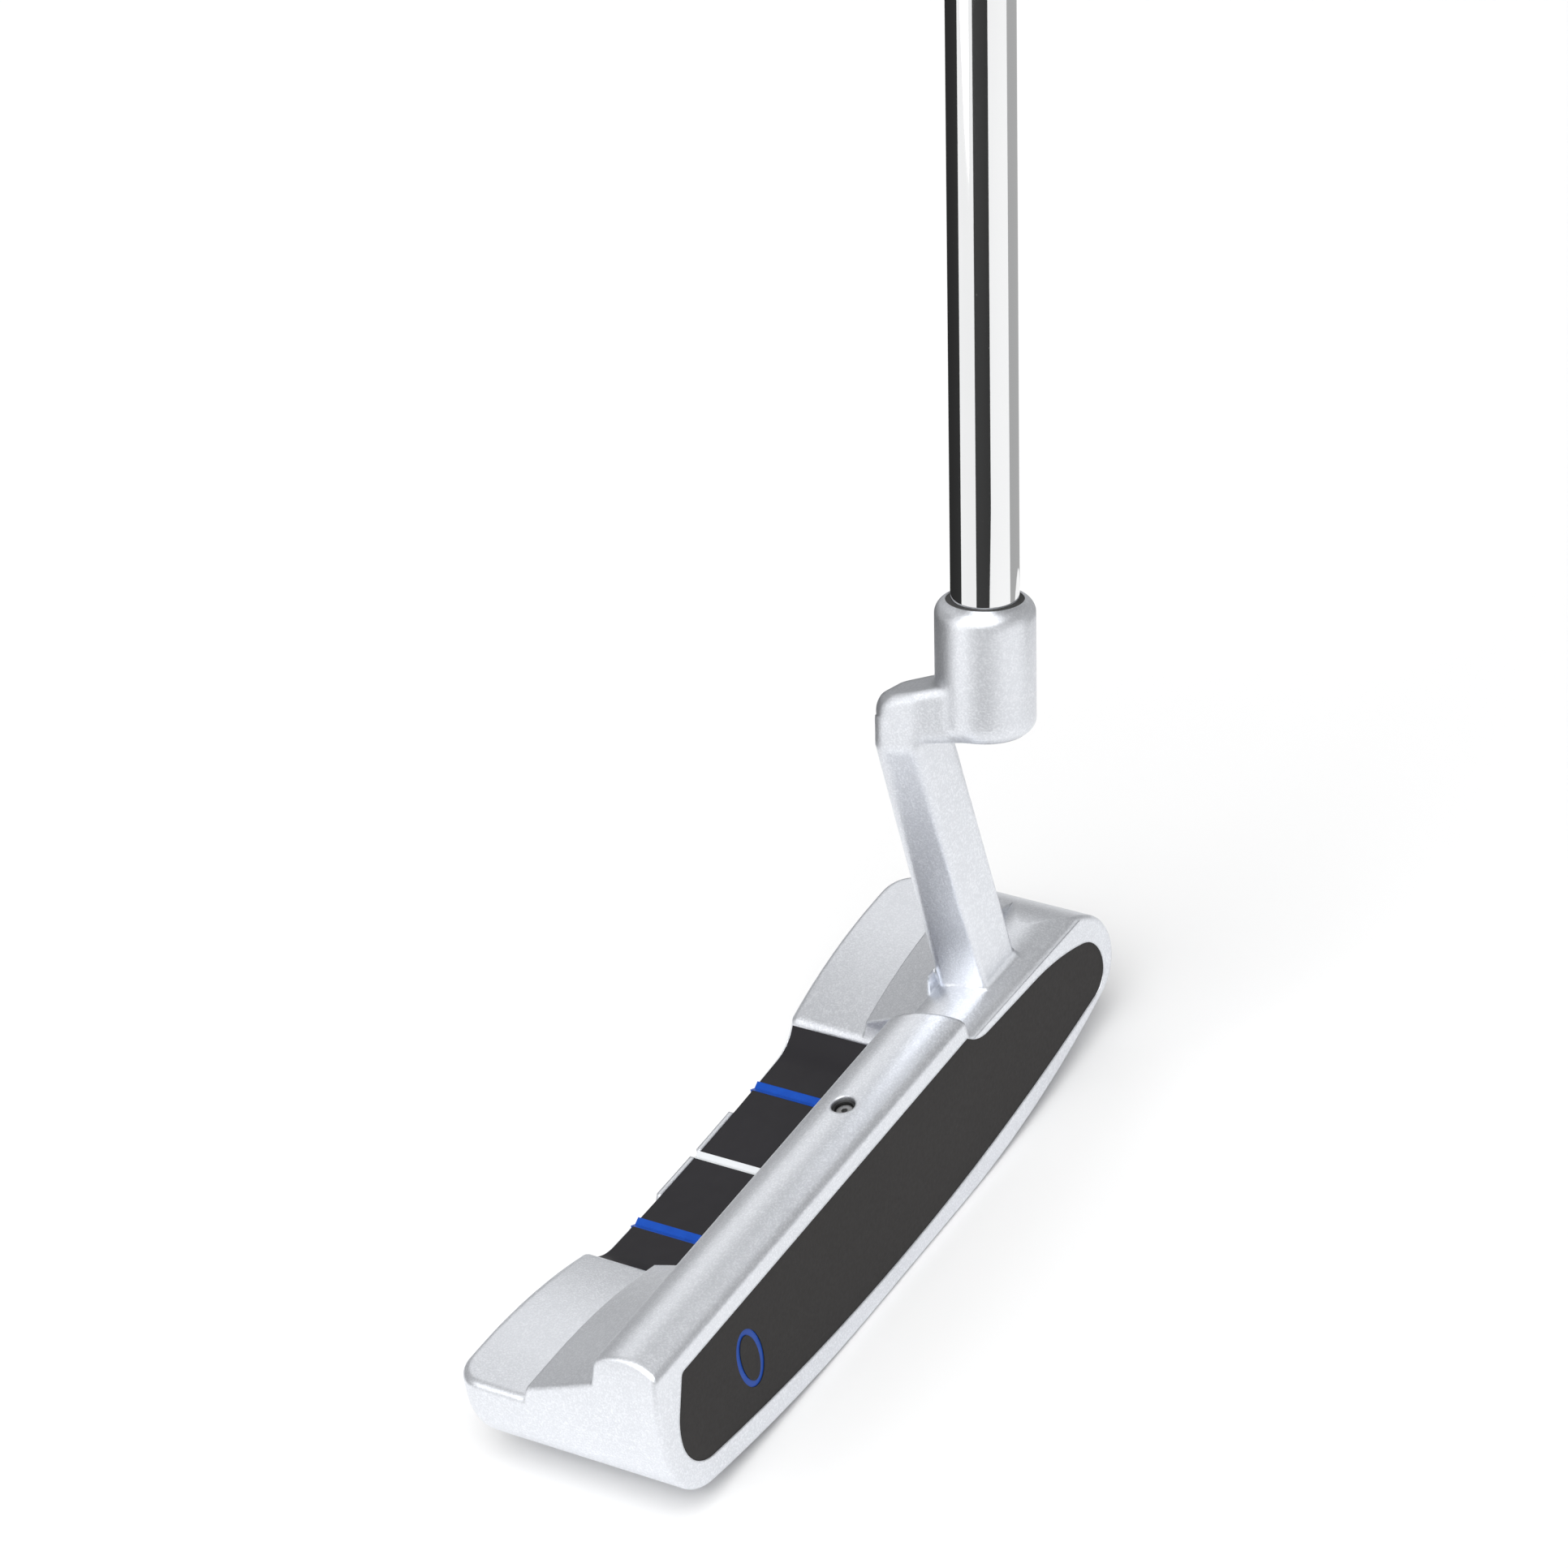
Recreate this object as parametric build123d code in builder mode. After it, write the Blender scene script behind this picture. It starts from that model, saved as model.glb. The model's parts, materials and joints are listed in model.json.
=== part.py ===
from build123d import *
from math import cos, radians, sin, sqrt, tan
import os

# A right-handed blade putter standing at address, in millimetres.
# +X points to the heel, +Y away from the target side (to the rear of the head), +Z up.
# The origin is on the flat pad of the sole, on the centreline, midway between face and rear.

# ---- driving dimensions -------------------------------------------------------------
face_loft = 3.0                 # the face leans back by this many degrees
lie = 71.7                      # shaft to ground, degrees

face_y = -17.0                  # the face plane at the height face_ref_z
face_ref_z = 22.0
rear_y = 18.3                   # rear face of the head
rear_round = 4.5                # large rounding round the rear of the sole and both ends
rim_round = 0.8
plateau_round = 1.2
toe_round = 0.7
wall_roll = 1.3
sky_z = 45.0                    # a level above everything but the neck

pad_half = 12.0                 # flat stretch of the sole, each side of the centreline
heel_sole_r = 135.0             # camber of the sole towards the heel
toe_sole_r = 245.0              # camber of the sole towards the toe

toe_x = -57.5
toe_widest_z = 11.2
toe_top = (-53.3, 28.5)         # x and height where the toe end's lean would end, above the bar
toe_corner_x = -50.5            # the sole's camber ends here and the toe end's curve starts
heel_x = 57.3
heel_widest_z = 12.6
heel_corner_x = 52.6            # the same at the heel
heel_turn = (54.6, 18.6)        # x and height of two points up the heel's shoulder
heel_roof = (47.0, 22.3)

plateau_z = 15.9                # top of the two rear bumpers, at their outer ends
bumper_bend_x = 50.0            # from here to the cavity the bumpers' tops bend down
bumper_bend_r = 78.0
step_y = 5.6                    # front edge of the plateaus
step_lean = 0.7                 # the step's face leans forward by this much
ramp_low_z = 18.0
ramp_high_z = 21.7
ramp_high_y = -6.0
bar_rear_y = -6.5               # rear wall of the top bar
bar_corner_round = 0.8
bar_crown_y = -11.3             # the crest of the bar's domed top
bar_crown_z = 26.35
bar_rear_top_z = 24.9
bar_front_z = 24.7
brow_start_y = -15.8            # here the dome turns down into the brow over the face
brow_turn_y = -16.5
bar_end_x = 20.0                # the bar stops here and steps down to the neck pad
heel_crown_z = 23.2
heel_rear_z = 21.9
heel_front_z = 21.9
heel_brow_rise = 0.4
brow_drop = 0.9                 # height of the brow's lower end below the bar's front
heel_fall = 1.5                 # the heel end's top falls by this many degrees

floor_z = 8.4                   # cavity floor at the centreline
floor_r = 500.0                 # the floor is slightly dished
floor_half = 21.0
wall_x = 27.0                   # where the end walls of the cavity reach wall_z
wall_z = 14.0

panel_depth = 0.5
panel_sink = 0.12               # the black fill ends this far below the metal
panel_end_x = 25.9              # the outer panels stop here, part way up the end walls
rear_rim = 0.7                  # bare metal left along the rear edge of the floor
line_spacing = 15.3
line_depth = 0.9
line_skin = 0.3
centre_line_width = 1.5
side_line_width = 1.9
line_rear_gap = 0.3

insert_top_z = 22.0
insert_low_z = 3.0
insert_thickness = 4.0
insert_bond_thickness = 0.3
insert_sink = 0.12
mark_depth = 0.4
mark_x = -36.9
mark_z = 13.4
mark_half_width = 2.8
mark_half_height = 4.7
mark_line = 0.95

dot_y = -11.4
dot_r = 1.75
dot_floor_z = 22.9
dot_liner_wall = 0.4
dot_liner_high = 2.7
dot_screw_high = 1.9
dot_socket_r = 0.5              # across the corners of its six-sided socket, halved

axis_x = 15.5                   # the shaft's axis meets the ground here
axis_y = -20.0
cup_r = 6.9
cup_low = 69.2                  # stations along the shaft's axis, from the ground up
cup_high = 88.4
cup_low_round = 2.1
lip_round = 2.3
arm_r = 5.6                     # the arm's end inside the cup
arm_end_x = -4.9                # centre of its other end, square to the axis, towards the toe
arm_end_width = 9.05
arm_rear_low = 67.7             # underside and top of the arm's rear end, as stations
arm_rear_high = 73.4
arm_front_high = 80.0
arm_round = 0.5
arm_toe_round = 2.6             # its top's toe end rounds off into the end wall
arm_rear_round = 1.8
post_width = 9.5
post_front_y = -14.3
post_base_x = 35.0
post_base_z = 19.0
post_base_depth = 7.85
knee_x = 32.4                   # here the post bends to follow the shaft's lean into the arm
knee_z = 66.5
knee_depth = 7.15
post_top_z = 70.0
post_skin = 0.03                # the post stands this little proud of the arm's walls
toe_slant = 1.4                 # its toe side slants in towards the cup by this much
post_front_round = 0.7
post_rear_round = 1.3           # the rear corners grow rounder towards the arm
foot_z = 21.9
foot_round = 1.8                # hollow curve at the post's foot, to the toe and the heel
foot_front_share = 0.5          # how much of it there is to the front
bore_low = 72.6
mouth_r = 5.4
mouth_depth = 0.6

tip_r = 4.7                     # 0.370 inch parallel tip
butt_r = 7.45
shaft_wall = 0.5
bond_gap = 0.12
bond_dip = 0.35                 # the epoxy ends this far below the cup's lip
step_count = 12
step_pitch = 24.0
step_cone = 1.5
first_step = 286.0
total_length = 864.0            # 34 inches along the axis
grip_length = 267.0
cap_thickness = 4.5
tape_thickness = 0.25
plug_length = 9.0
vent_r = 1.2

loft_a = radians(face_loft)
lie_a = radians(lie)
face_plane = Plane(origin=(0, face_y, face_ref_z), x_dir=(1, 0, 0), z_dir=(0, -cos(loft_a), sin(loft_a)))


def across(station):
    """The plane square to the shaft's axis, at a station along it; its x points to the heel."""
    origin = (axis_x + station * cos(lie_a), axis_y, station * sin(lie_a))
    return Plane(origin=origin, x_dir=(sin(lie_a), 0, -cos(lie_a)), z_dir=(cos(lie_a), 0, sin(lie_a)))


def arc_rise(run, radius):
    """How far a circle of this radius climbs over a horizontal run from its lowest point."""
    return radius - sqrt(radius * radius - run * run)


def floor_height(x):
    """Height of the dished cavity floor at a distance from the centreline."""
    return floor_z + arc_rise(x, floor_r)


shaft_axis = Axis(across(0).origin, across(0).z_dir)

os.makedirs("parts", exist_ok=True)

# ---- head casting: bumpers, top bar, neck and cup in one casting -----------------------
# Tool shapes first. The heel end of the bar is lower than the rest, behind a curved step.
heel_plane = Plane(origin=(bar_end_x - 2, 0, 0), x_dir=(0, 1, 0),
                   z_dir=(cos(radians(heel_fall)), 0, -sin(radians(heel_fall))))
with BuildPart() as heel_drop:
    with BuildSketch(heel_plane):
        with BuildLine():
            low_crown = ThreePointArc((bar_rear_y, heel_rear_z), (bar_crown_y, heel_crown_z),
                                      (brow_start_y, heel_front_z + heel_brow_rise))
            low_brow = ThreePointArc(low_crown @ 1, (brow_turn_y, heel_front_z),
                                     (face_y, heel_front_z - brow_drop))
            Polyline(low_brow @ 1, (face_y - 3, heel_front_z - brow_drop), (face_y - 3, sky_z),
                     (bar_rear_y, sky_z), low_crown @ 0)
        make_face()
    extrude(amount=50)
    with BuildSketch():
        with BuildLine():
            step_curve = ThreePointArc((bar_end_x - 1, bar_rear_y + 1), (bar_end_x + 0.6, -12.0),
                                       (bar_end_x + 4.5, face_y - 4))
            Polyline(step_curve @ 1, (80, face_y - 4), (80, bar_rear_y + 1), step_curve @ 0)
        make_face()
    extrude(amount=sky_z + 5, mode=Mode.INTERSECT)


def post_face(width, depth, slant, front_round, rear_round):
    """The post's section, its front edge on the x line; front and rear corners rounded differently."""
    with BuildSketch() as corner_face:
        with BuildLine():
            Polyline((slant - width / 2, 0), (width / 2, 0), (width / 2, depth), (-width / 2, depth),
                     close=True)
        make_face()
        fillet(corner_face.vertices().group_by(Axis.Y)[0], front_round)
        fillet(corner_face.vertices().group_by(Axis.Y)[-1], rear_round)
    return corner_face.sketch


# The neck: an arm that reaches forward from the post to the cup, its top sloping to the rear.
arm_plane = Plane(origin=across(0).origin, x_dir=(0, 1, 0), z_dir=across(0).x_dir)
with BuildPart() as arm:
    with BuildSketch(across(cup_low - 4)):
        Circle(arm_r)
        with Locations((arm_end_x, post_front_y - axis_y)):
            add(post_face(arm_end_width, knee_depth, toe_slant, post_front_round, arm_rear_round))
        make_hull()
    extrude(amount=18)
    with BuildSketch(arm_plane):
        with BuildLine():
            Polyline((-9, cup_low + 0.05), (0, cup_low + 0.05), (15, arm_rear_low), (15, arm_rear_high),
                     (-9, arm_front_high), close=True)
        make_face()
    extrude(amount=20, both=True, mode=Mode.INTERSECT)
    arm_top = arm.faces().sort_by(shaft_axis)[-1]
    toe_edge = arm_top.edges().sort_by(Axis((0, 0, 0), across(0).x_dir))[0]
    toe_edge_way = toe_edge % 0.5
    fillet(arm_top.edges(), arm_round)
    with BuildSketch(Plane(origin=toe_edge @ 0.5, x_dir=across(0).x_dir, z_dir=toe_edge_way)):
        Rectangle(2 * arm_toe_round, 2 * arm_toe_round)
        for rise in (-1, 1):
            with Locations((arm_toe_round, rise * arm_toe_round)):
                Circle(arm_toe_round, mode=Mode.SUBTRACT)
    extrude(amount=20, both=True, mode=Mode.SUBTRACT)

# The cup that holds the shaft, on the arm, and the post from inside the bar to inside the arm.
with BuildPart() as neck:
    with BuildSketch(across(cup_low)):
        Circle(cup_r)
    extrude(amount=cup_high - cup_low)
    fillet(neck.edges().sort_by(shaft_axis)[0], cup_low_round)
    fillet(neck.edges().sort_by(shaft_axis)[-1], lip_round)
    add(arm.part)
    with BuildSketch(Plane.XY.offset(post_base_z)):
        with Locations((post_base_x, post_front_y)):
            add(post_face(post_width, post_base_depth, toe_slant, post_front_round, post_rear_round))
    for height in (knee_z, post_top_z):
        with BuildSketch(Plane.XY.offset(height)):
            with Locations((knee_x + (height - knee_z) / tan(lie_a), post_front_y - post_skin)):
                add(post_face(arm_end_width / sin(lie_a) + 2 * post_skin, knee_depth + 2 * post_skin,
                              toe_slant, post_front_round, arm_rear_round))
    loft(ruled=True)

# The post's foot spreads out over the pad in a hollow curve.
with BuildPart() as foot:
    for turn in range(0, 90, 12):
        spread = foot_round * (1 - sin(radians(turn)))
        height = foot_round * (1 - cos(radians(turn)))
        front = spread * foot_front_share
        with BuildSketch(Plane.XY.offset(foot_z + height)):
            with Locations((post_base_x, post_front_y - front)):
                add(post_face(post_width + 2 * spread, post_base_depth + front - spread, toe_slant,
                              post_front_round + front, post_rear_round + spread))
    loft(ruled=True)

# The space over each bumper, where its top bends down towards the cavity.
bumper_bends = []
for side in (-1, 1):
    with BuildPart() as bend:
        with BuildSketch(Plane.YZ.offset(side * bumper_bend_x)):
            with BuildLine():
                Polyline((ramp_high_y, ramp_high_z), (ramp_high_y, sky_z), (rear_y + 3, sky_z),
                         (rear_y + 3, plateau_z), (step_y, plateau_z), (step_y - step_lean, ramp_low_z),
                         close=True)
            make_face()
        bend_axis = Axis((side * bumper_bend_x, 0, plateau_z - bumper_bend_r), (0, -side, 0))
        revolve(axis=bend_axis, revolution_arc=30)
    bumper_bends.append(bend.part)

# The space between the two bumpers: a dished floor with curved end walls.
with BuildPart() as cavity:
    with BuildSketch(Plane.XZ.offset(-bar_rear_y)) as cavity_profile:
        with BuildLine():
            floor_arc = ThreePointArc((-floor_half, floor_height(floor_half)), (0, floor_z),
                                      (floor_half, floor_height(floor_half)))
            heel_wall = TangentArc(floor_arc @ 1, (wall_x, wall_z), tangent=floor_arc % 1)
            toe_wall = TangentArc(floor_arc @ 0, (-wall_x, wall_z), tangent=-(floor_arc % 0))
            heel_rise = Line(heel_wall @ 1, heel_wall @ 1 + (heel_wall % 1) * 20)
            toe_rise = Line(toe_wall @ 1, toe_wall @ 1 + (toe_wall % 1) * 20)
            Line(heel_rise @ 1, toe_rise @ 1)
        make_face()
    extrude(amount=-30)


def floor_strip(x_low, x_high, top, bottom, y_high):
    """A layer of the cavity's floor and walls between two depths below its surface."""
    with BuildPart() as strip:
        with BuildSketch(Plane.XZ.offset(-bar_rear_y)):
            add(cavity_profile.sketch_local)
            offset(amount=bottom, kind=Kind.INTERSECTION, mode=Mode.REPLACE)
            if top > 0:
                add(offset(cavity_profile.sketch_local, amount=top, kind=Kind.INTERSECTION, mode=Mode.PRIVATE),
                    mode=Mode.SUBTRACT)
            with Locations(((x_low + x_high) / 2, floor_z + 3)):
                Rectangle(x_high - x_low, 9, mode=Mode.INTERSECT)
        extrude(amount=bar_rear_y - y_high)
    return strip.part


# Where the black panels and the three sight lines lie across the floor.
side_edge = line_spacing + side_line_width / 2
side_inner = line_spacing - side_line_width / 2
panel_spans = {
    "panel_toe_outer": (-panel_end_x, -side_edge),
    "panel_toe_inner": (-side_inner, -centre_line_width / 2),
    "panel_heel_inner": (centre_line_width / 2, side_inner),
    "panel_heel_outer": (side_edge, panel_end_x),
}
sight_lines = {
    "sight_line_toe": (-line_spacing, side_line_width),
    "sight_line_centre": (0.0, centre_line_width),
    "sight_line_heel": (line_spacing, side_line_width),
}

# The outline of the insert on the face; x along the face, y up it from face_ref_z.
with BuildSketch() as insert_outline:
    with BuildLine():
        ins_low = ThreePointArc((-49.0, insert_low_z + 3.6 - face_ref_z), (-0.5, insert_low_z - face_ref_z),
                                (50.5, insert_low_z + 4.2 - face_ref_z))
        ins_heel = TangentArc(ins_low @ 1, (54.2, 11.5 - face_ref_z), tangent=ins_low % 1)
        ins_heel_high = TangentArc(ins_heel @ 1, (50.8, 16.5 - face_ref_z), tangent=(0, 1))
        ins_shoulder = TangentArc(ins_heel_high @ 1, (40.0, 19.0 - face_ref_z), tangent=ins_heel_high % 1)
        ins_heel_top = Line(ins_shoulder @ 1, (26.5, 19.7 - face_ref_z))
        ins_notch = TangentArc(ins_heel_top @ 1, (22.6, 21.4 - face_ref_z), tangent=ins_heel_top % 1)
        ins_step = Line(ins_notch @ 1, (22.0, insert_top_z - face_ref_z))
        ins_top = Line(ins_step @ 1, (-49.9, insert_top_z - face_ref_z))
        ins_toe_high = Line(ins_top @ 1, (-52.7, 16.9 - face_ref_z))
        ins_toe = TangentArc((-53.9, 12.3 - face_ref_z), (-52.7, 16.9 - face_ref_z), tangent=(0, 1))
        ins_toe_low = TangentArc(ins_low @ 0, (-53.9, 12.3 - face_ref_z), tangent=-(ins_low % 0))
    make_face()
    fillet(insert_outline.vertices().sort_by_distance((-49.9, 0))[0], 0.9)

# The outline seen from the front, taken over the crest of the bar.
toe_corner = (toe_corner_x, arc_rise(-toe_corner_x - pad_half, toe_sole_r))
heel_corner = (heel_corner_x, arc_rise(heel_corner_x - pad_half, heel_sole_r))

with BuildPart() as head:
    with BuildSketch(Plane.XZ.offset(-rear_y)):
        with BuildLine():
            pad = Line((-pad_half, 0), (pad_half, 0))
            heel_sole = TangentArc(pad @ 1, heel_corner, tangent=pad % 1)
            heel_low = TangentArc(heel_sole @ 1, (heel_x, heel_widest_z), tangent=heel_sole % 1)
            heel_high = TangentArc(heel_low @ 1, heel_turn, tangent=(0, 1))
            heel_shoulder = TangentArc(heel_high @ 1, heel_roof, tangent=heel_high % 1)
            toe_side = TangentArc((toe_x, toe_widest_z), toe_top, tangent=(0, 1))
            toe_far = Line(toe_side @ 1, toe_side @ 1 + (toe_side % 1) * 12)
            roof = Line(heel_shoulder @ 1, toe_far @ 1)
            toe_sole = TangentArc(pad @ 0, toe_corner, tangent=(-1, 0))
            toe_low = TangentArc(toe_sole @ 1, (toe_x, toe_widest_z), tangent=toe_sole % 1)
        make_face()
    extrude(amount=rear_y - face_y + 3)
    split(bisect_by=face_plane, keep=Keep.BOTTOM)
    fillet(head.faces().sort_by(Axis.Y)[0].edges(), rim_round)
    # everything behind and above the top bar: crown, rear wall, ramp, step and plateau
    with BuildSketch(Plane.YZ.offset(toe_x - 2)) as section:
        with BuildLine():
            crown = ThreePointArc((bar_rear_y, bar_rear_top_z), (bar_crown_y, bar_crown_z),
                                  (brow_start_y, bar_front_z + 0.6))
            brow = ThreePointArc(crown @ 1, (brow_turn_y, bar_front_z + 0.1),
                                 (face_y + 0.05, bar_front_z + 0.1 - brow_drop))
            Polyline(brow @ 1, (face_y - 3, bar_front_z + 0.1 - brow_drop), (face_y - 3, sky_z),
                     (rear_y + 3, sky_z), (rear_y + 3, plateau_z), (step_y, plateau_z),
                     (step_y - step_lean, ramp_low_z), (ramp_high_y, ramp_high_z), crown @ 0)
        make_face()
        # in this sketch x is the rearward and y the upward direction
        bar_corners = section.vertices().filter_by(lambda v: abs(v.X - bar_rear_y) < 0.1)
        fillet(bar_corners, bar_corner_round)
    extrude(amount=heel_x - toe_x + 4, mode=Mode.SUBTRACT)
    rear_edges = head.faces().sort_by(Axis.Y)[-1].edges()
    fillet(rear_edges.filter_by(lambda e: (e @ 0.5).Z < plateau_z - 0.1), rear_round)
    for space in bumper_bends:
        add(space, mode=Mode.SUBTRACT)
    add(heel_drop.part, mode=Mode.SUBTRACT)
    add(cavity.part, mode=Mode.SUBTRACT)
    # softened edges of the plateaus, then of the toe end
    at_plateau = head.edges().filter_by(lambda e: abs((e @ 0.5).Z - plateau_z) < 0.3)
    fillet(at_plateau.filter_by(lambda e: (e @ 0.5).Y > rear_y - 1.3 and e.length > 8), plateau_round)
    at_plateau = head.edges().filter_by(lambda e: abs((e @ 0.5).Z - plateau_z) < 0.3)
    fillet(at_plateau.filter_by(lambda e: (e @ 0.5).Y > step_y and (e @ 0).X < -54), plateau_round)
    toe_end = head.faces().filter_by(GeomType.CYLINDER).filter_by(lambda f: f.center().X < -52)
    toe_edges = toe_end.sort_by(Axis.Z)[-1].edges().filter_by(lambda e: (e @ 0.5).Y > face_y + 1.5)
    fillet(toe_edges.filter_by(lambda e: (e @ 0.5).Z > ramp_low_z + 0.2), toe_round)
    # the end walls of the cavity roll over onto the plateaus
    wall_tops = head.edges().filter_by(Axis.Y).filter_by(lambda e: 11 < (e @ 0.5).Z < wall_z)
    fillet(wall_tops.filter_by(lambda e: 24 < abs((e @ 0.5).X) < 32 and 8 < e.length < 15), wall_roll)
    add(neck.part)
    add(foot.part)
    # the pocket for the insert, its bond behind it
    with BuildSketch(face_plane):
        add(insert_outline.sketch_local)
    extrude(amount=-(insert_thickness + insert_bond_thickness + insert_sink), mode=Mode.SUBTRACT)
    # the hole in the top line
    with BuildSketch(Plane.XY.offset(dot_floor_z)):
        with Locations((0, dot_y)):
            Circle(dot_r)
    extrude(amount=10, mode=Mode.SUBTRACT)
    # the bore of the cup, with a widened mouth
    with BuildSketch(across(bore_low)):
        Circle(tip_r + bond_gap)
    extrude(amount=50, mode=Mode.SUBTRACT)
    with BuildSketch(across(cup_high - mouth_depth)):
        Circle(mouth_r)
    extrude(amount=5, mode=Mode.SUBTRACT)
    # the recesses of the black panels, and the sight line grooves
    for low, high in panel_spans.values():
        add(floor_strip(low, high, -1, panel_depth, rear_y - rear_rim), mode=Mode.SUBTRACT)
    for centre, width in sight_lines.values():
        with BuildSketch(Plane.XZ.offset(-bar_rear_y)):
            with Locations((centre, floor_height(centre) + 2 - line_depth)):
                Rectangle(width, 4)
        extrude(amount=-30, mode=Mode.SUBTRACT)

head.part.label = "head_casting"
export_step(head.part, "parts/head_casting.step")

# ---- face: the insert, its bond and the painted ring on it ------------------------------
ring_plane = face_plane.offset(-insert_sink)
with BuildSketch(ring_plane) as mark_ring:
    with Locations((mark_x, mark_z - face_ref_z)):
        Ellipse(mark_half_width, mark_half_height)
        Ellipse(mark_half_width - mark_line, mark_half_height - mark_line, mode=Mode.SUBTRACT)

with BuildPart() as face_insert:
    with BuildSketch(ring_plane):
        add(insert_outline.sketch_local)
    extrude(amount=-insert_thickness)
    extrude(mark_ring.sketch, amount=-mark_depth, mode=Mode.SUBTRACT)
face_insert.part.label = "face_insert"
export_step(face_insert.part, "parts/face_insert.step")

with BuildPart() as insert_mark:
    with BuildSketch(ring_plane.offset(-mark_depth)):
        add(mark_ring.sketch_local)
    extrude(amount=mark_depth * 0.6)
insert_mark.part.label = "insert_mark"
export_step(insert_mark.part, "parts/insert_mark.step")

with BuildPart() as insert_bond:
    with BuildSketch(ring_plane.offset(-insert_thickness)):
        add(insert_outline.sketch_local)
    extrude(amount=-insert_bond_thickness)
insert_bond.part.label = "insert_bond"
export_step(insert_bond.part, "parts/insert_bond.step")

# ---- cavity: black panels and the three painted sight lines -----------------------------
for name, (low, high) in panel_spans.items():
    panel = floor_strip(low, high, panel_sink, panel_depth, rear_y - rear_rim)
    panel.label = name
    export_step(panel, f"parts/{name}.step")

for name, (centre, width) in sight_lines.items():
    low = floor_height(centre) - line_depth
    with BuildPart() as line:
        with BuildSketch(Plane.XZ.offset(-bar_rear_y)):
            with BuildLine():
                Polyline((centre - width / 2, low), (centre + width / 2, low),
                         (centre + width / 2, low + line_depth - panel_sink), (centre, low + line_skin),
                         (centre - width / 2, low + line_depth - panel_sink), close=True)
            make_face()
        extrude(amount=bar_rear_y - rear_y + line_rear_gap)
    line.part.label = name
    export_step(line.part, f"parts/{name}.step")

# ---- top line: the small screw in its black liner ---------------------------------------
with BuildPart() as dot_liner:
    with BuildSketch(Plane.XY.offset(dot_floor_z)):
        with Locations((0, dot_y)):
            Circle(dot_r)
    extrude(amount=dot_liner_high)
    with BuildSketch(Plane.XY.offset(dot_floor_z + dot_liner_wall)):
        with Locations((0, dot_y)):
            Circle(dot_r - dot_liner_wall)
    extrude(amount=dot_liner_high, mode=Mode.SUBTRACT)
dot_liner.part.label = "dot_liner"
export_step(dot_liner.part, "parts/dot_liner.step")

with BuildPart() as dot_screw:
    with BuildSketch(Plane.XY.offset(dot_floor_z + dot_liner_wall)):
        with Locations((0, dot_y)):
            Circle(dot_r - dot_liner_wall)
    extrude(amount=dot_screw_high)
    fillet(dot_screw.edges().group_by(Axis.Z)[-1], 0.25)
    with BuildSketch(Plane.XY.offset(dot_floor_z + dot_liner_wall + dot_screw_high)):
        with Locations((0, dot_y)):
            RegularPolygon(dot_socket_r, 6)
    extrude(amount=-0.8, mode=Mode.SUBTRACT)
dot_screw.part.label = "dot_screw"
export_step(dot_screw.part, "parts/dot_screw.step")

# ---- shaft: a stepped steel tube, its bond in the cup and the plug in its tip -----------
side_plane = Plane(origin=across(0).origin, x_dir=across(0).x_dir, z_dir=(0, -1, 0))
shaft_end = total_length - cap_thickness
step_rise = (butt_r - tip_r) / step_count


def shaft_line(inset):
    """The stepped outline of the shaft, from tip to butt, this far inside its surface."""
    points = [(tip_r - inset, bore_low)]
    for turn in range(step_count):
        station = first_step + turn * step_pitch
        radius = tip_r - inset + turn * step_rise
        points += [(radius, station), (radius + step_rise, station + step_cone)]
    return points + [(butt_r - inset, shaft_end)]


with BuildPart() as shaft:
    with BuildSketch(side_plane):
        with BuildLine():
            Polyline(*shaft_line(0), *reversed(shaft_line(shaft_wall)), close=True)
        make_face()
    revolve(axis=shaft_axis)
shaft.part.label = "shaft"
export_step(shaft.part, "parts/shaft.step")

with BuildPart() as shaft_bond:
    with BuildSketch(side_plane):
        with BuildLine():
            Polyline((tip_r, bore_low), (tip_r + bond_gap, bore_low),
                     (tip_r + bond_gap, cup_high - mouth_depth), (mouth_r, cup_high - mouth_depth),
                     (mouth_r, cup_high - bond_dip), (tip_r, cup_high - bond_dip), close=True)
        make_face()
    revolve(axis=shaft_axis)
shaft_bond.part.label = "shaft_bond"
export_step(shaft_bond.part, "parts/shaft_bond.step")

with BuildPart() as tip_plug:
    with BuildSketch(across(bore_low)):
        Circle(tip_r - shaft_wall)
    extrude(amount=plug_length)
tip_plug.part.label = "tip_plug"
export_step(tip_plug.part, "parts/tip_plug.step")

# ---- grip: a rubber pistol grip with a flat front, tape under it, and an end cap --------
grip_low = total_length - grip_length
# station above the grip's lower end, radius, distance of the flat, shift to the rear
grip_sections = [(0, 9.6, 8.7, 0.0), (70, 10.2, 9.0, 0.1), (150, 11.2, 9.5, 0.5), (215, 12.9, 10.3, 1.4),
                 (grip_length - cap_thickness, 13.3, 10.9, 1.2)]


def grip_face(radius, flat, shift):
    """A round section with one flat side, its corners softened."""
    with BuildSketch() as section_face:
        with Locations((shift, 0)):
            Circle(radius)
        with Locations((-flat - 10, 0)):
            Rectangle(20, 40, mode=Mode.SUBTRACT)
        fillet(section_face.vertices(), 2.5)
    return section_face.sketch


with BuildPart() as grip:
    for station, radius, flat, shift in grip_sections:
        with BuildSketch(across(grip_low + station)):
            add(grip_face(radius, flat, shift))
    loft()
    fillet(grip.faces().sort_by(shaft_axis)[0].edges(), 1.2)
    with BuildSketch(across(grip_low - 1)):
        Circle(butt_r + tape_thickness)
    extrude(amount=grip_length + 5, mode=Mode.SUBTRACT)
grip.part.label = "grip"
export_step(grip.part, "parts/grip.step")

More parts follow.
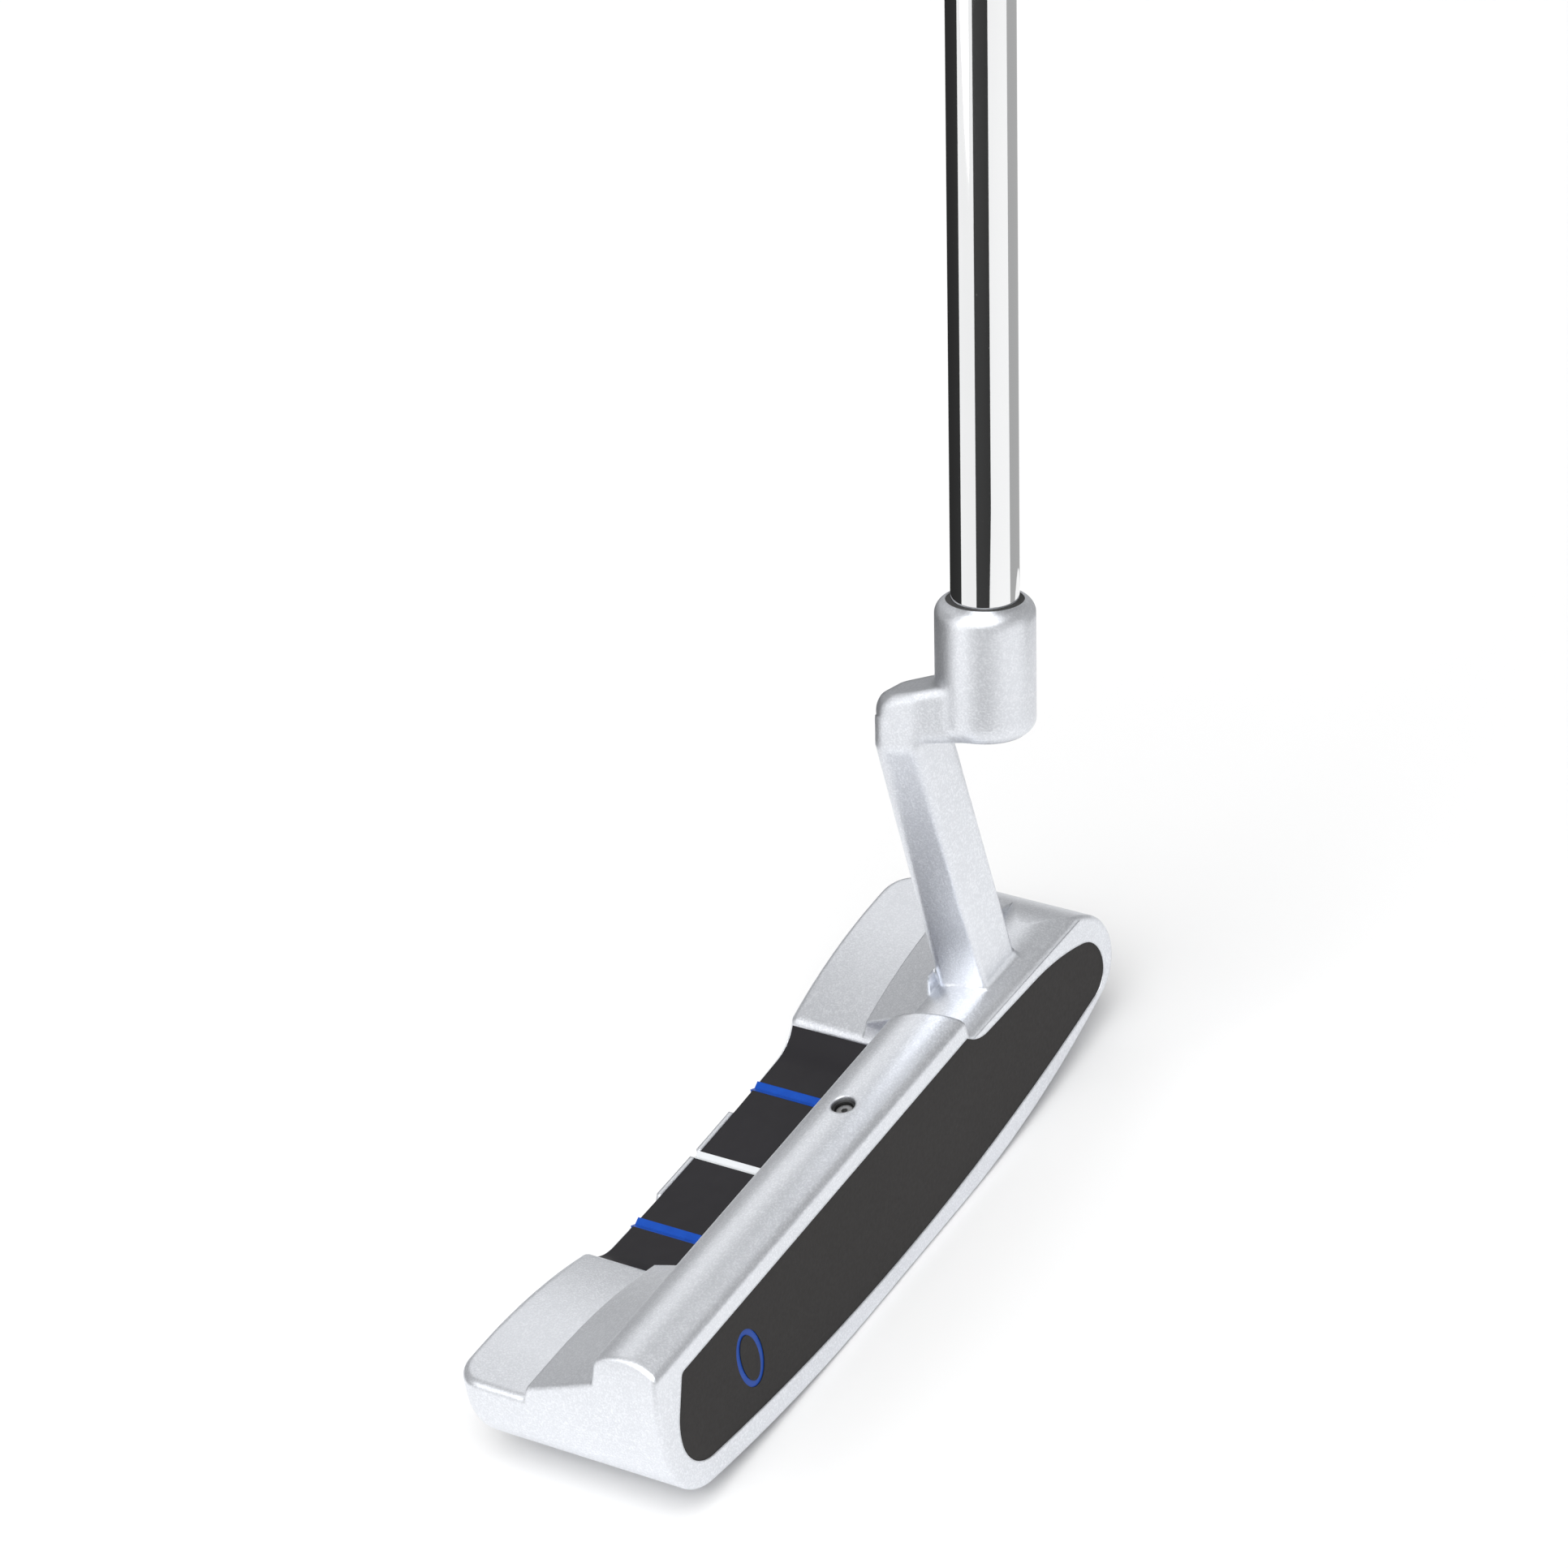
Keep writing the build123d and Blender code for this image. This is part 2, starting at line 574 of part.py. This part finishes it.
with BuildPart() as grip_tape:
    with BuildSketch(across(grip_low + 2)):
        Circle(butt_r + tape_thickness)
        Circle(butt_r, mode=Mode.SUBTRACT)
    extrude(amount=grip_length - cap_thickness - 2)
grip_tape.part.label = "grip_tape"
export_step(grip_tape.part, "parts/grip_tape.step")

with BuildPart() as grip_cap:
    with BuildSketch(across(shaft_end)):
        add(grip_face(*grip_sections[-1][1:]))
    extrude(amount=cap_thickness)
    fillet(grip_cap.faces().sort_by(shaft_axis)[-1].edges(), 1.8)
    with BuildSketch(across(shaft_end)):
        Circle(vent_r)
    extrude(amount=cap_thickness, mode=Mode.SUBTRACT)
grip_cap.part.label = "grip_cap"
export_step(grip_cap.part, "parts/grip_cap.step")
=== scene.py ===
import json
from math import atan2, cos, pi, radians, sin, tau

import bpy
from mathutils import Matrix, Vector
from mathutils.bvhtree import BVHTree


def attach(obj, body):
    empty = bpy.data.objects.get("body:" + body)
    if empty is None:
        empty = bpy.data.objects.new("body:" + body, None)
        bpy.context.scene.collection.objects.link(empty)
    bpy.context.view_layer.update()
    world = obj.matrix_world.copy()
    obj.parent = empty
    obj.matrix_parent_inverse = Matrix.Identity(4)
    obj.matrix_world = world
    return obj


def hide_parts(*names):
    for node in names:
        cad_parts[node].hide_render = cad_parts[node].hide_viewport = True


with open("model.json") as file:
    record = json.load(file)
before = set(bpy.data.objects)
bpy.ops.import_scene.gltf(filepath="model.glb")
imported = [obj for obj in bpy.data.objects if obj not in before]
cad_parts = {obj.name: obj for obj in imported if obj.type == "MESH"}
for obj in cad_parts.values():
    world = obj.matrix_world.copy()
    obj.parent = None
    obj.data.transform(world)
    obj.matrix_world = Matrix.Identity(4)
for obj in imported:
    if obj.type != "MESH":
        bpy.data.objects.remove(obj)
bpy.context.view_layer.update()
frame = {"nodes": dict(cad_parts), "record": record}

# A blade putter in a plain white studio. Lengths are metres, in the row's own frame:
# +X to the heel, +Y to the rear of the head, +Z up, origin on the flat of the sole.
scene = bpy.context.scene
scene.view_settings.view_transform = "Standard"
MM = 0.001


# ---- camera -----------------------------------------------------------------------------
VIEW_AZIMUTH = radians(48.118)      # the view runs from the toe's front corner to the heel's rear
VIEW_ELEVATION = radians(36.269)
VIEW_ROLL = radians(-14.178)
VIEW_FROM = Vector((-532.5, -492.8, 608.0)) * MM
LENS = 155.4                        # millimetres, on a sensor 36 mm wide
SENSOR = 36


def make_camera():
    """The camera, from its azimuth, elevation and roll."""
    ahead = Vector((sin(VIEW_AZIMUTH) * cos(VIEW_ELEVATION), cos(VIEW_AZIMUTH) * cos(VIEW_ELEVATION),
                    -sin(VIEW_ELEVATION)))
    level = Vector((cos(VIEW_AZIMUTH), -sin(VIEW_AZIMUTH), 0))
    upright = level.cross(ahead)
    right = cos(VIEW_ROLL) * level + sin(VIEW_ROLL) * upright
    top = cos(VIEW_ROLL) * upright - sin(VIEW_ROLL) * level
    data = bpy.data.cameras.new("camera")
    data.lens = LENS
    data.sensor_width = SENSOR
    data.clip_start = 0.05
    data.clip_end = 100
    camera = bpy.data.objects.new("camera", data)
    turn = Matrix((right, top, -ahead)).transposed()
    camera.matrix_world = Matrix.Translation(VIEW_FROM) @ turn.to_4x4()
    scene.collection.objects.link(camera)
    scene.camera = camera


make_camera()


# ---- materials --------------------------------------------------------------------------
class Recipe:
    """A Principled material with short calls for the nodes that drive it."""

    def __init__(self, name, **sockets):
        self.material = bpy.data.materials.new(name)
        self.material.use_nodes = True
        self.tree = self.material.node_tree
        self.shader = self.tree.nodes["Principled BSDF"]
        for key, value in sockets.items():
            self.shader.inputs[key.replace("_", " ")].default_value = value
        self.place = self.tree.nodes.new("ShaderNodeTexCoord").outputs["Object"]

    def wire(self, value, socket):
        """Links an output, or sets a plain value."""
        if isinstance(value, bpy.types.NodeSocket):
            self.tree.links.new(value, socket)
        else:
            socket.default_value = value

    def node(self, kind, **settings):
        """A new node with its settings."""
        made = self.tree.nodes.new(kind)
        for key, value in settings.items():
            setattr(made, key, value)
        return made

    def stretched(self, scale):
        """The object coordinates, scaled by axis."""
        mapping = self.node("ShaderNodeMapping")
        mapping.inputs["Scale"].default_value = scale
        self.wire(self.place, mapping.inputs["Vector"])
        return mapping.outputs["Vector"]

    def noise(self, scale, detail=2.0, where=None):
        """Soft noise; a scale of 1000 gives features about a millimetre wide."""
        made = self.node("ShaderNodeTexNoise")
        made.inputs["Scale"].default_value = scale
        made.inputs["Detail"].default_value = detail
        self.wire(where or self.place, made.inputs["Vector"])
        return made.outputs["Fac"]

    def cells(self, scale):
        """Distance to the nearest of scattered points."""
        made = self.node("ShaderNodeTexVoronoi", feature="F1")
        made.inputs["Scale"].default_value = scale
        self.wire(self.place, made.inputs["Vector"])
        return made.outputs["Distance"]

    def spread(self, value, low, high, start=0.0, end=1.0):
        """value, from start to end, becomes low to high."""
        made = self.node("ShaderNodeMapRange")
        for key, number in (("From Min", start), ("From Max", end), ("To Min", low), ("To Max", high)):
            made.inputs[key].default_value = number
        self.wire(value, made.inputs["Value"])
        return made.outputs["Result"]

    def maths(self, operation, first, second):
        """Two values combined."""
        made = self.node("ShaderNodeMath", operation=operation)
        self.wire(first, made.inputs[0])
        self.wire(second, made.inputs[1])
        return made.outputs[0]

    def blend(self, share, first, second):
        """Two colours mixed by a share."""
        made = self.node("ShaderNodeMix", data_type="RGBA")
        self.wire(share, made.inputs["Factor"])
        self.wire(first, made.inputs[6])
        self.wire(second, made.inputs[7])
        return made.outputs[2]

    def bump(self, height, distance, strength=1.0, under=None):
        """Normals from a height, over the normals of another bump where one is given."""
        made = self.node("ShaderNodeBump")
        made.inputs["Distance"].default_value = distance
        made.inputs["Strength"].default_value = strength
        self.wire(height, made.inputs["Height"])
        if under is not None:
            self.wire(under, made.inputs["Normal"])
        return made.outputs["Normal"]

    def rounded(self, low, high, low_z, high_z):
        """Normals as if sharp edges had a small radius, larger higher up on the piece."""
        split = self.node("ShaderNodeSeparateXYZ")
        self.wire(self.place, split.inputs[0])
        made = self.node("ShaderNodeBevel", samples=6)
        radius = self.spread(split.outputs["Z"], low, high, low_z, high_z)
        self.wire(radius, made.inputs["Radius"])
        return made.outputs["Normal"]

    def facing(self, direction, start, end):
        """1 where the surface faces a direction in the object's own frame, 0 elsewhere."""
        made = self.node("ShaderNodeVectorMath", operation="DOT_PRODUCT")
        self.wire(self.tree.nodes["Texture Coordinate"].outputs["Normal"], made.inputs[0])
        made.inputs[1].default_value = direction
        return self.spread(made.outputs["Value"], 0, 1, start, end)

    def finish(self, colour=None, roughness=None, normal=None):
        """Wires up what is given, and returns the material."""
        for value, key in ((colour, "Base Color"), (roughness, "Roughness"), (normal, "Normal")):
            if value is not None:
                self.wire(value, self.shader.inputs[key])
        return self.material


def grey(level, tint=0.0):
    """A grey, bluer for a positive tint."""
    return (level * (1 - tint), level, level * (1 + tint), 1)


CASTING_LOW = (0.73, 0.75, 0.79, 1)
CASTING_HIGH = (0.78, 0.80, 0.84, 1)
CASTING_SPARK = (0.90, 0.92, 0.96, 1)
FACE_LOFT = radians(3.0)
FACE_NORMAL = (0, -cos(FACE_LOFT), sin(FACE_LOFT))
HEAD_EDGE = 0.6 * MM                # how soft the casting's edges look on the head
NECK_EDGE = 2.2 * MM                # and on the neck, which is softer all over
SOFTER_FROM = 45 * MM               # between these heights the one becomes the other
SOFTER_TO = 60 * MM


def satin_metal():
    """Bead-blasted casting, milled flat across the face, with rubbed edges and faint handling marks."""
    mat = Recipe("satin_metal", Metallic=0.94, Specular_IOR_Level=0.4)
    blast = mat.cells(3300)
    grain = mat.noise(3600, 2)
    coarse = mat.noise(1100, 2)
    cloud = mat.noise(55, 3)
    milled = mat.facing(FACE_NORMAL, 0.985, 0.998)
    lines = mat.noise(1.0, 2, mat.stretched((3800, 60, 60)))
    tone = mat.blend(mat.spread(cloud, 0, 1, 0.35, 0.65), CASTING_LOW, CASTING_HIGH)
    speckle = mat.spread(mat.maths("ADD", grain, mat.maths("MULTIPLY", coarse, 0.25)), 0, 1, 0.56, 0.86)
    colour = mat.blend(speckle, tone, CASTING_SPARK)
    satin = mat.maths("ADD", mat.spread(cloud, 0.36, 0.42), mat.spread(grain, -0.06, 0.06))
    roughness = mat.maths("SUBTRACT", satin, mat.maths("MULTIPLY", milled, 0.04))
    edges = mat.rounded(HEAD_EDGE, NECK_EDGE, SOFTER_FROM, SOFTER_TO)
    relief = mat.bump(mat.spread(blast, 0, 1, 0, 0.6), 0.000024, 0.5, edges)
    relief = mat.bump(grain, 0.000014, 0.4, relief)
    relief = mat.bump(mat.maths("MULTIPLY", lines, milled), 0.00002, 0.5, relief)
    return mat.finish(colour, roughness, relief)


def insert_black():
    """Black anodised aluminium, machined to a fine matt."""
    mat = Recipe("insert_black", Metallic=0.0, Specular_IOR_Level=0.22)
    pits = mat.cells(2100)
    cloud = mat.noise(38, 3)
    colour = mat.blend(cloud, (0.019, 0.0175, 0.017, 1), (0.026, 0.0235, 0.023, 1))
    roughness = mat.spread(mat.noise(1700, 2), 0.42, 0.60)
    passes = mat.noise(1.0, 2, mat.stretched((90, 90, 4200)))
    relief = mat.bump(pits, 0.00002, 0.35)
    return mat.finish(colour, roughness, mat.bump(passes, 0.00001, 0.35, relief))


def enamel(name, low, high, rough, gloss, tone_scale=70):
    """A brushed-in enamel: slight pooling, orange peel and dust."""
    mat = Recipe(name, Specular_IOR_Level=gloss)
    pool = mat.noise(tone_scale, 3)
    peel = mat.noise(900, 2)
    colour = mat.blend(pool, low, high)
    roughness = mat.spread(mat.noise(500, 3), rough, rough + 0.14)
    return mat.finish(colour, roughness, mat.bump(peel, 0.00003, 0.25))


def chrome():
    """Bright plating with the faint length-wise drawing marks and a little handling haze."""
    mat = Recipe("shaft_chrome", Metallic=1.0)
    haze = mat.noise(30, 4)
    marks = mat.noise(1.0, 2, mat.stretched((900, 900, 14)))
    specks = mat.cells(420)
    colour = mat.blend(haze, grey(0.86, 0.006), grey(0.92, 0.004))
    clean = mat.spread(haze, 0.025, 0.075, 0.35, 0.75)
    speck = mat.spread(specks, 0.18, 0.0, 0.0, 0.05)
    return mat.finish(colour, mat.maths("ADD", clean, speck), mat.bump(marks, 0.000004, 0.3))


def rubber(name, level, rough):
    """Moulded rubber: dusty high spots over a fine matt grain."""
    mat = Recipe(name, Specular_IOR_Level=0.35)
    dust = mat.noise(160, 4)
    grain = mat.noise(3800, 2)
    colour = mat.blend(mat.spread(dust, 0, 1, 0.4, 0.75), grey(level), grey(level * 1.7, 0.01))
    roughness = mat.spread(grain, rough - 0.08, rough + 0.10)
    return mat.finish(colour, roughness, mat.bump(grain, 0.00006, 0.4))


def plain_matt(name, low, high, scale):
    """A matt hidden material: tape, film, epoxy or plug, with a little unevenness."""
    mat = Recipe(name, Specular_IOR_Level=0.3)
    cloud = mat.noise(scale, 4)
    colour = mat.blend(cloud, low, high)
    return mat.finish(colour, mat.spread(cloud, 0.5, 0.8), mat.bump(cloud, 0.00005, 0.3))


def dark_steel():
    """The little screw: dark turned steel."""
    mat = Recipe("screw_steel", Metallic=0.85)
    turned = mat.noise(1600, 3)
    colour = mat.blend(turned, grey(0.22), grey(0.36))
    return mat.finish(colour, mat.spread(turned, 0.30, 0.48), mat.bump(turned, 0.00002, 0.3))


FINISH = {
    "satin_metal": satin_metal(),
    "insert_black": insert_black(),
    "panel_black": enamel("panel_black", (0.013, 0.012, 0.014, 1), (0.019, 0.018, 0.021, 1), 0.42, 0.2),
    "line_blue": enamel("line_blue", (0.002, 0.045, 0.30, 1), (0.004, 0.075, 0.44, 1), 0.25, 0.3, 400),
    "line_white": enamel("line_white", grey(0.62, 0.02), grey(0.72, 0.03), 0.25, 0.5),
    "bond_dark": plain_matt("bond_dark", grey(0.03), grey(0.06), 700),
    "bond_film": plain_matt("bond_film", (0.70, 0.69, 0.64, 1), (0.78, 0.77, 0.72, 1), 300),
    "screw_steel": dark_steel(),
    "liner_black": enamel("liner_black", grey(0.010), grey(0.018), 0.30, 0.4, 500),
    "shaft_chrome": chrome(),
    "grip_rubber": rubber("grip_rubber", 0.020, 0.62),
    "cap_rubber": rubber("cap_rubber", 0.026, 0.50),
    "tape_white": plain_matt("tape_white", (0.76, 0.74, 0.66, 1), (0.85, 0.83, 0.77, 1), 250),
    "plug_plastic": plain_matt("plug_plastic", (0.50, 0.45, 0.37, 1), (0.60, 0.55, 0.46, 1), 250),
}

for part in frame["record"]["subparts"]:
    data = frame["nodes"][part["node"]].data
    data.materials.clear()
    data.materials.append(FINISH[part["material_slot"]])


# ---- shaft and grip -----------------------------------------------------------------------
SHAFT_FOOT = Vector((15.5, -20.0, 0)) * MM      # the shaft's line meets the ground here
LIE = radians(71.7)
ALONG = Vector((cos(LIE), 0, sin(LIE)))
HEELWARD = Vector((sin(LIE), 0, -cos(LIE)))
REARWARD = Vector((0, 1, 0))


def around(station, angle, radius):
    """A point at a station along the shaft's line, an angle from the heel side, and a radius."""
    return SHAFT_FOOT + ALONG * station + (HEELWARD * cos(angle) + REARWARD * sin(angle)) * radius


def cad_points(name):
    """The vertices of a node of the row, in the shared frame."""
    node = frame["nodes"][name]
    return [node.matrix_world @ v.co for v in node.data.vertices]


def ring_mesh(name, rings, sharp_angle):
    """A closed ring of quads through loops of points, as smooth faces with sharp edges kept."""
    count = len(rings[0])
    points = [p for ring in rings for p in ring]
    faces = []
    for i in range(len(rings)):
        a, b = i * count, (i + 1) % len(rings) * count
        faces += [(a + k, a + (k + 1) % count, b + (k + 1) % count, b + k) for k in range(count)]
    mesh = bpy.data.meshes.new(name)
    mesh.from_pydata(points, [], faces)
    mesh.polygons.foreach_set("use_smooth", [True] * len(faces))
    mesh.set_sharp_from_angle(angle=sharp_angle)
    made = bpy.data.objects.new(name, mesh)
    scene.collection.objects.link(made)
    return made


def hand_over(piece, cad_name, slot):
    """Puts a finer piece in the place of a node of the row."""
    piece.data.materials.append(FINISH[slot])
    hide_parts(cad_name)
    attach(piece, "root")


SHAFT_SIDES = 144
SHAFT_INSET = 0.01 * MM             # the fine tube stays this far inside the row's
THIN_WALL = 0.4 * MM                # rings of points closer than this to the outside aren't the bore


def fine_shaft():
    """The stepped tube with the outline of the row's own shaft, in many more sides."""
    outer, inner = {}, {}
    for point in cad_points("shaft"):
        arm = point - SHAFT_FOOT
        station = round(arm.dot(ALONG), 5)
        radius = (arm - ALONG * arm.dot(ALONG)).length
        outer[station] = max(radius, outer.get(station, 0))
        inner[station] = min(radius, inner.get(station, 1))
    outline = [(s, outer[s] - SHAFT_INSET) for s in sorted(outer)]
    outline += [(s, inner[s]) for s in sorted(inner, reverse=True) if outer[s] - inner[s] > THIN_WALL]
    rings = [[around(s, tau * k / SHAFT_SIDES, r) for k in range(SHAFT_SIDES)] for s, r in outline]
    return ring_mesh("shaft_tube", rings, radians(20))


GRIP_SIDES = 180
GRIP_STEP = 0.7 * MM                # between rings of points
GRIP_BORE = 7.75 * MM
GRIP_INSET = 0.02 * MM
GRIP_REACH = 40 * MM                # rays start here, outside the grip
GRIP_GIRTH = 10 * MM                # mean radius, for the run of the crossed grooves
LIP = 1.2 * MM                      # the rounded lower end, with rings of its own
LIP_SHARES = (0, 0.15, 0.3, 0.45, 0.6, 0.8)
LIP_CURVE = 1.6                     # crowds those rings towards the end
TOP_GAP = 0.1 * MM
GROOVE_DEEP = 0.32 * MM
GROOVE_PITCH = 4.2 * MM
RIB_PITCH = 0.62 * GROOVE_PITCH
PLAIN_LOW = 14 * MM                 # smooth ends, and a smooth band across
PLAIN_HIGH = 12 * MM
FADE = 2 * MM
BAND_SHARE = 0.62
BAND_HALF = 7 * MM
FLAT_HALF = radians(34)             # the flat front spans this angle each way
RIB_HALF = radians(32)
RIB_FADE = radians(3)
BACK_START = radians(52)            # the crossed grooves start here
BACK_FADE = radians(4)


def ramp(value):
    """The value, kept between 0 and 1."""
    return min(1.0, max(0.0, value))


def wave(along, pitch):
    """A wave from 0 to 1 along a length."""
    return 0.5 + 0.5 * cos(tau * along / pitch)


def grip_relief(along, angle, length, girth):
    """Depth of the moulded pattern: ribs across the flat front, crossed grooves round the back."""
    fade = ramp(min(along - PLAIN_LOW, length - PLAIN_HIGH - along) / FADE)
    if abs(along - length * BAND_SHARE) < BAND_HALF:
        fade = 0.0
    from_front = abs(atan2(sin(angle - pi), cos(angle - pi)))
    if from_front < FLAT_HALF:
        side = ramp((RIB_HALF - from_front) / RIB_FADE)
        return fade * side * wave(along, RIB_PITCH) ** 3
    side = ramp((from_front - BACK_START) / BACK_FADE)
    crossed = max(wave(along + girth, GROOVE_PITCH), wave(along - girth, GROOVE_PITCH))
    return fade * side * crossed ** 5


def fine_grip():
    """The grip's own outline, cast from its axis, with the moulded pattern sunk into it."""
    node = frame["nodes"]["grip"]
    surface = BVHTree.FromPolygons(cad_points("grip"), [tuple(f.vertices) for f in node.data.polygons])
    stations = [(p - SHAFT_FOOT).dot(ALONG) for p in cad_points("grip")]
    low, high = min(stations), max(stations)
    steps = int((high - low - 2 * LIP) / GRIP_STEP)
    body = high - low - LIP - TOP_GAP
    along = [low + LIP * share ** LIP_CURVE + GRIP_INSET for share in LIP_SHARES]
    along += [low + LIP + body * step / steps for step in range(steps + 1)]
    rings = []
    for station in along:
        ring = []
        for k in range(GRIP_SIDES):
            angle = tau * k / GRIP_SIDES
            centre = around(station, angle, 0)
            start = around(station, angle, GRIP_REACH)
            hit = surface.ray_cast(start, centre - start)[0]
            radius = (hit - centre).length if hit else GRIP_BORE
            sunk = grip_relief(station - low, angle, high - low, angle * GRIP_GIRTH) * GROOVE_DEEP
            ring.append(around(station, angle, radius - sunk - GRIP_INSET))
        rings.append(ring)
    for station in (along[-1], along[0]):
        rings.append([around(station, tau * k / GRIP_SIDES, GRIP_BORE) for k in range(GRIP_SIDES)])
    return ring_mesh("grip_rubber_body", rings, radians(50))


hand_over(fine_shaft(), "shaft", "shaft_chrome")
hand_over(fine_grip(), "grip", "grip_rubber")


# ---- studio -----------------------------------------------------------------------------
def flat_piece(name, corners, colour, glow=0.0):
    """A flat matt stage piece from its corners, which may give off a plain grey light."""
    mesh = bpy.data.meshes.new(name)
    mesh.from_pydata([tuple(c) for c in corners], [], [tuple(range(len(corners)))])
    mat = Recipe(name, Base_Color=colour, Roughness=0.9, Specular_IOR_Level=0.1,
                 Emission_Color=grey(1.0), Emission_Strength=glow)
    mesh.materials.append(mat.material)
    made = bpy.data.objects.new(name, mesh)
    scene.collection.objects.link(made)
    return made


FLOOR_HALF = 30.0
FLOOR_CORNERS = ((-1, -1), (1, -1), (1, 1), (-1, 1))
flat_piece("floor", [(x * FLOOR_HALF, y * FLOOR_HALF, 0) for x, y in FLOOR_CORNERS], grey(0.86))


def reflection_card(name, corners, glow):
    """A card that only mirrors see, so that polished metal has something dark to show."""
    card = flat_piece(name, corners, grey(0.0), glow)
    card.visible_camera = False
    card.visible_diffuse = False
    card.visible_shadow = False


# The cards lie on the floor as sectors about the point where the shaft's line meets it, so
# that each shows as one straight stripe along the shaft. Each has the angles from +X where
# it starts and ends, in degrees, its near and far radius in metres, and its glow.
CARD_LIFT = 0.4 * MM
CARD_STEPS = 12
SECTORS = {
    "card_front": (185, 234, 0.55, 12.0, 0.02),
    "card_rear": (34, 131, 0.14, 3.0, 0.02),
    "card_side": (-53, 34, 0.14, 3.0, 0.42),
}
for name, (start, end, near, far, glow) in SECTORS.items():
    bend = [radians(start + (end - start) * step / CARD_STEPS) for step in range(CARD_STEPS + 1)]
    ring = [SHAFT_FOOT + Vector((cos(a) * far, sin(a) * far, CARD_LIFT)) for a in bend]
    ring += [SHAFT_FOOT + Vector((cos(a) * near, sin(a) * near, CARD_LIFT)) for a in reversed(bend)]
    reflection_card(name, ring, glow)


def softbox(name, place, aim, size, power):
    """A square area light at a place, aimed at a point."""
    data = bpy.data.lights.new(name, "AREA")
    data.shape = "SQUARE"
    data.size = size
    data.energy = power
    light = bpy.data.objects.new(name, data)
    light.location = place
    light.rotation_euler = (Vector(aim) - Vector(place)).to_track_quat("-Z", "Y").to_euler()
    light.visible_camera = False
    scene.collection.objects.link(light)


softbox("toe_side", (-0.35, 0.15, 0.25), (-0.055, 0.0, 0.012), 0.3, 0.4)
softbox("rear_top", (1.14, 1.02, 1.12), (0, 0, 0), 1.0, 2.4)

# A wide soft source high over the toe's front keeps the whole floor evenly pale.
sky_lamp = bpy.data.lights.new("sky_lamp", "SUN")
sky_lamp.energy = 2.6
sky_lamp.angle = radians(60)
sky = bpy.data.objects.new("sky_lamp", sky_lamp)
sky.rotation_euler = Vector((0.35, 0.25, -0.90)).to_track_quat("-Z", "Y").to_euler()
scene.collection.objects.link(sky)

world = bpy.data.worlds.new("studio")
world.use_nodes = True
world.node_tree.nodes["Background"].inputs["Color"].default_value = grey(1.0)
world.node_tree.nodes["Background"].inputs["Strength"].default_value = 0.38
scene.world = world
